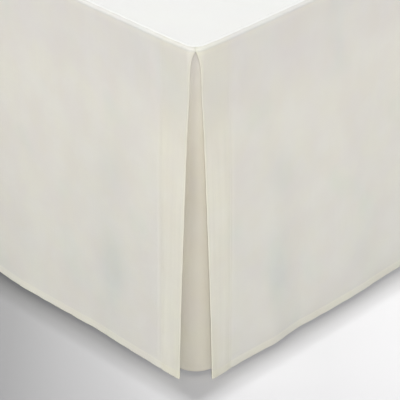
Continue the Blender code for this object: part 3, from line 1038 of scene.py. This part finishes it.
# Painted shade on the strip of underlay that shows, less beside the flaps and more a little above the
# middle of its height. Its top, deepest in the shade, is painted cooler.
UNDERLAY_SHOWN_MARGIN = 0.002
UNDERLAY_SHADE = 0.68
UNDERLAY_SHADE_SPREAD = 0.85
UNDERLAY_SHADE_ASIDE = 0.25  # towards the foot, in widths of what shows
UNDERLAY_SHADE_MORE = 0.32
UNDERLAY_SHADE_MORE_AT = 0.42  # shares of the fall
UNDERLAY_SHADE_MORE_SPREAD = 0.15
UNDERLAY_COOL_TO = 0.30
UNDERLAY_PITCHES = ((0.045, 0.0016),)
UNDERLAY_FAR_PITCH = 0.003


def make_underlay(name, side, material):
    along = steps_to(UNDERLAY_HALF_WIDTH, UNDERLAY_PITCHES, UNDERLAY_FAR_PITCH)
    along = np.concatenate((-along[:0:-1], along))[None, :]
    end = DROP - UNDERLAY_SHORTER - RIM
    down = rows_of(end, SEAM_FLANGE)[:, None] + 0.0 * along
    along = along + 0.0 * down
    from_hem = end - down
    thickness = thickness_of(np.ones_like(down), 0.0, from_hem)
    share = fall_share(down)
    shown = SPLIT_OPENING * np.sqrt(share) + UNDERLAY_SHOWN_MARGIN
    more = UNDERLAY_SHADE_MORE * bell(share - UNDERLAY_SHADE_MORE_AT, UNDERLAY_SHADE_MORE_SPREAD)
    painted_shade = bell(along / shown + UNDERLAY_SHADE_ASIDE, UNDERLAY_SHADE_SPREAD) * (UNDERLAY_SHADE + more)
    cool = smooth_step(1.0 - share / UNDERLAY_COOL_TO)
    return closed_sheet(
        name,
        underlay_place(along, down, np.zeros_like(down), side),
        underlay_place(along, down, thickness, side),
        np.ones_like(down),
        {
            "cloth": (along, down),
            "finish": (0.0 * down, from_hem),
            "relief": (painted_shade, cool),
        },
        material,
    )


DECK_PITCH = 0.016
DECK_EDGE_PITCHES = ((0.006, 0.0015), (0.05, 0.005), (0.15, 0.010))
DECK_GAP = 0.00015  # half the width of the groove at the seam
DECK_RIPPLES = (
    Ripple(0.31, 0.52, 0.4, 0.00035),
    Ripple(0.19, -0.37, 2.0, 0.00025),
    Ripple(0.43, 0.29, 3.3, 0.00030),
)
DECK_HEM = 0.018  # turned hem along the head edge
DECK_HEAD_REACH = 0.03
DECK_HEAD_PITCH = 0.003
DECK_CALM = 0.12  # the ripples fade over this distance from the seams
DECK_HEAD_CALM = 0.05


def make_deck(material):
    """The deck: a patch between four edges, of which three follow the seam."""
    inset = BEND_RADIUS + SEAM_FLANGE + DECK_GAP
    tip = float(mitre_of(np.array(inset), np.array(0.0)))
    width = BED_WIDTH

    half = tip + steps_to(width / 2 - tip, DECK_EDGE_PITCHES, DECK_PITCH)
    from_left = np.concatenate((half, width - half[-2::-1]))
    reach = BED_LENGTH - tip
    stops = steps_to(reach - DECK_HEAD_REACH, DECK_EDGE_PITCHES, DECK_PITCH)
    head_stops = reach - steps_to(DECK_HEAD_REACH, (), DECK_HEAD_PITCH)
    from_foot = tip + np.concatenate((stops, head_stops[-2::-1]))

    def seam_at(distance):
        other = np.array(inset) + 0.0 * distance
        return inset + pull_at(distance, other, 0.0 * distance)

    near = np.minimum(from_left, width - from_left)
    foot = np.stack((LEFT_X + from_left, FOOT_Y + seam_at(near)), axis=-1)
    head_x = LEFT_X + inset + (from_left - tip) / (width - 2 * tip) * (width - 2 * inset)
    head = np.stack((head_x, np.full_like(head_x, HEAD_Y)), axis=-1)
    side_in = seam_at(from_foot)
    left = np.stack((LEFT_X + side_in, FOOT_Y + from_foot), axis=-1)
    right = np.stack((RIGHT_X - side_in, FOOT_Y + from_foot), axis=-1)

    s = ((from_left - tip) / (width - 2 * tip))[None, :, None]
    t = ((from_foot - tip) / reach)[:, None, None]
    plan = (1 - t) * foot[None] + t * head[None] + (1 - s) * left[:, None] + s * right[:, None]
    plan = plan - (1 - s) * (1 - t) * foot[0] - s * (1 - t) * foot[-1]
    plan = plan - (1 - s) * t * head[0] - s * t * head[-1]

    x, y = plan[..., 0], plan[..., 1]
    from_side = np.minimum(x - LEFT_X, RIGHT_X - x) - inset
    from_seam = np.minimum(from_side, y - FOOT_Y - inset)
    lift = ripple_at(DECK_RIPPLES, x, y) + sum(wave.height for wave in DECK_RIPPLES)
    lift = lift * smooth_step(from_seam / DECK_CALM) * smooth_step((HEAD_Y - y) / DECK_HEAD_CALM)
    lift = lift + SEAM_RIDGE * bell(from_seam - SEAM_RIDGE_AT, SEAM_RIDGE_WIDTH)
    lift = lift + TURN_RIDGE * bell(HEAD_Y - y - DECK_HEM, TURN_SOFTNESS)
    height = CLOTH_TOP + lift
    thickness = THIN + (TURNED - THIN) * smooth_step((DECK_HEM - HEAD_Y + y) / TURN_SOFTNESS)
    return closed_sheet(
        "deck_cloth_sheet",
        np.stack((x, y, height), axis=-1),
        np.stack((x, y, height - thickness), axis=-1),
        np.full_like(height, SEAM_BULGE),
        {"cloth": (x, y)},
        material,
    )


BASE_PLAN_RADIUS = 0.035
BASE_EDGE_RADIUS = 0.015
BASE_CORNER_STEPS = 12
BASE_EDGE_STEPS = 8
BASE_SHARP = math.radians(40)
SHARP_CREASE = 1.0  # in radians, so the rounded corners aren't taken for edges
FACES_AXIS = 0.7  # a normal this far along an axis lies on that axis's faces


def round_edges(box, edges, radius, steps):
    bmesh.ops.bevel(box, geom=edges, offset=radius, segments=steps, profile=0.5, affect="EDGES")


def vertex_values(mesh, name):
    values = np.empty(len(mesh.vertices) * 3)
    mesh.vertices.foreach_get(name, values)
    return values.reshape(-1, 3)


def make_base(material):
    """The upholstered base: its box with rounded corners and edges."""
    mesh = bpy.data.meshes.new("bed_base_cover")
    box = bmesh.new()
    bmesh.ops.create_cube(box, size=1.0)
    bmesh.ops.scale(box, vec=BASE_HIGH - BASE_LOW, verts=box.verts)
    upright = [e for e in box.edges if abs(e.verts[0].co.z - e.verts[1].co.z) > 0]
    round_edges(box, upright, BASE_PLAN_RADIUS, BASE_CORNER_STEPS)
    level = [
        e
        for e in box.edges
        if e.is_manifold and e.verts[0].co.z == e.verts[1].co.z and e.calc_face_angle(0.0) > SHARP_CREASE
    ]
    round_edges(box, level, BASE_EDGE_RADIUS, BASE_EDGE_STEPS)
    bmesh.ops.translate(box, vec=(BASE_HIGH + BASE_LOW) / 2, verts=box.verts)
    box.to_mesh(mesh)
    box.free()
    mesh.shade_smooth()
    mesh.set_sharp_from_angle(angle=BASE_SHARP)
    places = vertex_values(mesh, "co")
    normals = np.abs(vertex_values(mesh, "normal"))
    flat = np.where(normals[:, :1] > FACES_AXIS, places[:, [1, 2]], places[:, [0, 2]])
    flat = np.where(normals[:, 2:] > FACES_AXIS, places[:, [0, 1]], flat)
    set_uv(mesh, "cloth", flat)
    mesh.materials.append(material)
    return add_piece("bed_base_cover", mesh)


LEG_STEPS = 64
LEG_CHAMFER = 0.003
LEG_TAPER = 0.009
LEG_ARC_STEPS = 5
LEG_SHARP = math.radians(50)
SAME_POINT = 1e-6


def arc(x, z, radius, start, end):
    """Points of a profile's round stretch, between two angles in degrees."""
    turns = [math.radians(start + (end - start) * i / LEG_ARC_STEPS) for i in range(LEG_ARC_STEPS + 1)]
    return [(x + radius * math.cos(turn), z + radius * math.sin(turn)) for turn in turns]


def make_leg(node, material):
    """A turned leg, tapering to a foot with a rounded rim."""
    low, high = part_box(node)
    x, y = (low.x + high.x) / 2, (low.y + high.y) / 2
    top_radius = (high.x - low.x) / 2
    foot_radius = top_radius - LEG_TAPER
    top_round = LEG_CHAMFER / 2
    profile = [(0.0, high.z), (top_radius - top_round, high.z)]
    profile += arc(top_radius - top_round, high.z - top_round, top_round, 90, 0)
    profile += arc(foot_radius - LEG_CHAMFER, low.z + LEG_CHAMFER, LEG_CHAMFER, 0, -90)
    profile.append((0.0, low.z))
    count = len(profile)
    points, faces = [], []
    for step in range(LEG_STEPS):
        turn = 2 * math.pi * step / LEG_STEPS
        points += [(x + r * math.cos(turn), y + r * math.sin(turn), z) for r, z in profile]
        here, there = step * count, (step + 1) % LEG_STEPS * count
        for i in range(1, count - 2):
            faces.append((here + i, here + i + 1, there + i + 1, there + i))
        faces.append((here, here + 1, there + 1))
        faces.append((here + count - 2, here + count - 1, there + count - 2))
    mesh = bpy.data.meshes.new(node + "_turned")
    mesh.from_pydata(points, [], faces)
    body = bmesh.new()
    body.from_mesh(mesh)
    bmesh.ops.remove_doubles(body, verts=body.verts, dist=SAME_POINT)
    bmesh.ops.recalc_face_normals(body, faces=body.faces)
    body.to_mesh(mesh)
    body.free()
    mesh.shade_smooth()
    mesh.set_sharp_from_angle(angle=LEG_SHARP)
    mesh.materials.append(material)
    return add_piece(node + "_turned", mesh)


BOLT_STEP = 2.3  # the drops are cut from the bolt one after another
SEAM_SEED = 5


def make_drops():
    cream = skirt_material()
    thread = thread_material("cream_thread", scaled(CREAM, CREAM_THREAD))
    for number, drop in enumerate(DROPS):
        cloth = dress(make_drop(drop, cream, number * BOLT_STEP), "skirt_cloth", drop.name)
        runs = [hem_run(drop), side_run(drop, False)]
        if drop.split_end:
            runs.append(side_run(drop, True))
        sewing = stitch_mesh(drop.name + "_stitches", runs, thread, seed=len(drop.name))
        dress(sewing, "skirt_cloth")


def make_underlays():
    shaded = underlay_material()
    for hand, side in (("right", 1), ("left", -1)):
        node = f"pleat_underlay_{hand}"
        cloth = dress(make_underlay(node + "_cloth", side, shaded), "underlay_cloth", node)


def make_deck_and_seam():
    white = finish_cloth(*cloth_material("deck_cloth_weave", WHITE, DECK_THREADS, *DECK_LOOK))
    deck = dress(make_deck(white), "deck_cloth", "deck_panel")
    thread = thread_material("seam_thread", scaled(WHITE, SEAM_THREAD))
    seam = stitch_mesh("seam_stitches", [seam_run(drop) for drop in DROPS], thread, seed=SEAM_SEED)
    dress(seam, "deck_cloth")


def make_bed():
    ticking = finish_cloth(*cloth_material("base_fabric_weave", TICKING, BASE_THREADS, *BASE_LOOK))
    wood = wood_material()
    dress(make_base(ticking), "base_fabric", "bed_base")
    for end in ("foot", "head"):
        for hand in ("left", "right"):
            node = f"leg_{end}_{hand}"
            dress(make_leg(node, wood), "leg_wood", node)


# Stage, light and camera

VIEW_YAW = math.radians(44.98)  # from the -Y axis towards +X
VIEW_PITCH = math.radians(31.265)
VIEW_FROM_CORNER = Vector((1.1722, -1.1670, 1.2256))
VIEW_LENS = 179.2  # millimetres, as the sensor's width
VIEW_SENSOR = 36.0

FLOOR_SIZE = 14.0
SKY = 0.14
# A distant light, in degrees: its azimuth to the right of the camera, its height above the
# floor and the width that it fills
Lamp = namedtuple("Lamp", "name azimuth height width strength")
LAMPS = (
    Lamp("key_left", 168, 83.4, 2.0, 0.76),
    Lamp("key_right", 192, 83.4, 2.0, 0.76),
    Lamp("front_fill", 1, 33, 4, 2.46),
    Lamp("left_fill", -70, 6, 30, 0.77),
)

# Painted shade on the floor, darkest in a broad band left of the seen corner: its tone along the
# camera's right, as distance from the seen corner, and grey
FloorTone = namedtuple("FloorTone", "at grey")
FLOOR_TONES = (
    FloorTone(-2.40, 0.64),
    FloorTone(-1.30, 0.52),
    FloorTone(-0.60, 0.34),
    FloorTone(-0.30, 0.28),
    FloorTone(-0.20, 0.34),
    FloorTone(-0.142, 0.43),
    FloorTone(-0.08, 0.51),
    FloorTone(0.0, 0.68),
    FloorTone(0.054, 0.71),
    FloorTone(0.136, 0.71),
    FloorTone(0.21, 0.75),
)
FLOOR_TINT = (1.0, 0.998, 1.018)  # cool, against the cream light that the cloth throws back


def view_right():
    return Vector((math.cos(VIEW_YAW), math.sin(VIEW_YAW), 0.0))


def direction(azimuth, height):
    """Towards an azimuth, from -Y towards +X, and a height above the floor."""
    level = math.cos(height)
    return Vector((math.sin(azimuth) * level, -math.cos(azimuth) * level, math.sin(height)))


def make_floor():
    bpy.ops.mesh.primitive_plane_add(size=FLOOR_SIZE)
    floor = bpy.context.object
    floor.name = "studio_floor"
    graph = Graph("studio_floor_paint")
    right = view_right()
    inputs = {0: graph.place(), 1: right}
    along = graph.add("ShaderNodeVectorMath", inputs, DOT_VALUE, operation="DOT_PRODUCT")
    start = right.x * RIGHT_X + right.y * FOOT_Y + FLOOR_TONES[0].at
    reach = FLOOR_TONES[-1].at - FLOOR_TONES[0].at
    share = graph.math("DIVIDE", graph.math("SUBTRACT", along, start), reach)
    ramp = graph.tree.nodes.new("ShaderNodeValToRGB")
    graph.feed(ramp.inputs[0], share)
    stops = ramp.color_ramp.elements
    while len(stops) < len(FLOOR_TONES):
        stops.new(0.5)
    for stop, tone in zip(stops, FLOOR_TONES):
        stop.position = (tone.at - FLOOR_TONES[0].at) / reach
        stop.color = (*scaled(FLOOR_TINT, tone.grey), 1.0)
    graph.finish(ramp.outputs[0], FLOOR_ROUGHNESS, Specular_IOR_Level=0.1)
    floor.data.materials.append(graph.material)


def add_lamp(lamp):
    sun = bpy.data.lights.new(lamp.name, "SUN")
    sun.energy = lamp.strength
    sun.angle = math.radians(lamp.width)
    towards = direction(math.radians(lamp.azimuth) + VIEW_YAW, math.radians(lamp.height))
    holder = bpy.data.objects.new(lamp.name, sun)
    holder.rotation_euler = towards.to_track_quat("Z", "Y").to_euler()
    bpy.context.scene.collection.objects.link(holder)


def make_lights():
    world = bpy.data.worlds.new("studio")
    world.use_nodes = True
    sky = world.node_tree.nodes["Background"]
    sky.inputs["Color"].default_value = (1.0, 1.0, 1.0, 1.0)
    sky.inputs["Strength"].default_value = SKY
    bpy.context.scene.world = world
    for lamp in LAMPS:
        add_lamp(lamp)


def make_camera():
    lens = bpy.data.cameras.new("view")
    lens.lens = VIEW_LENS
    lens.sensor_width = VIEW_SENSOR
    lens.clip_start = 0.05
    camera = bpy.data.objects.new("view", lens)
    back, right = direction(VIEW_YAW, VIEW_PITCH), view_right()
    up = back.cross(right)
    turn = Matrix((right, up, back)).transposed().to_4x4()
    turn.translation = Vector((RIGHT_X, FOOT_Y, 0.0)) + VIEW_FROM_CORNER
    camera.matrix_world = turn
    bpy.context.scene.collection.objects.link(camera)
    bpy.context.scene.camera = camera
    bpy.context.scene.view_settings.view_transform = "Standard"


make_drops()
make_underlays()
make_deck_and_seam()
make_bed()
make_floor()
make_lights()
make_camera()
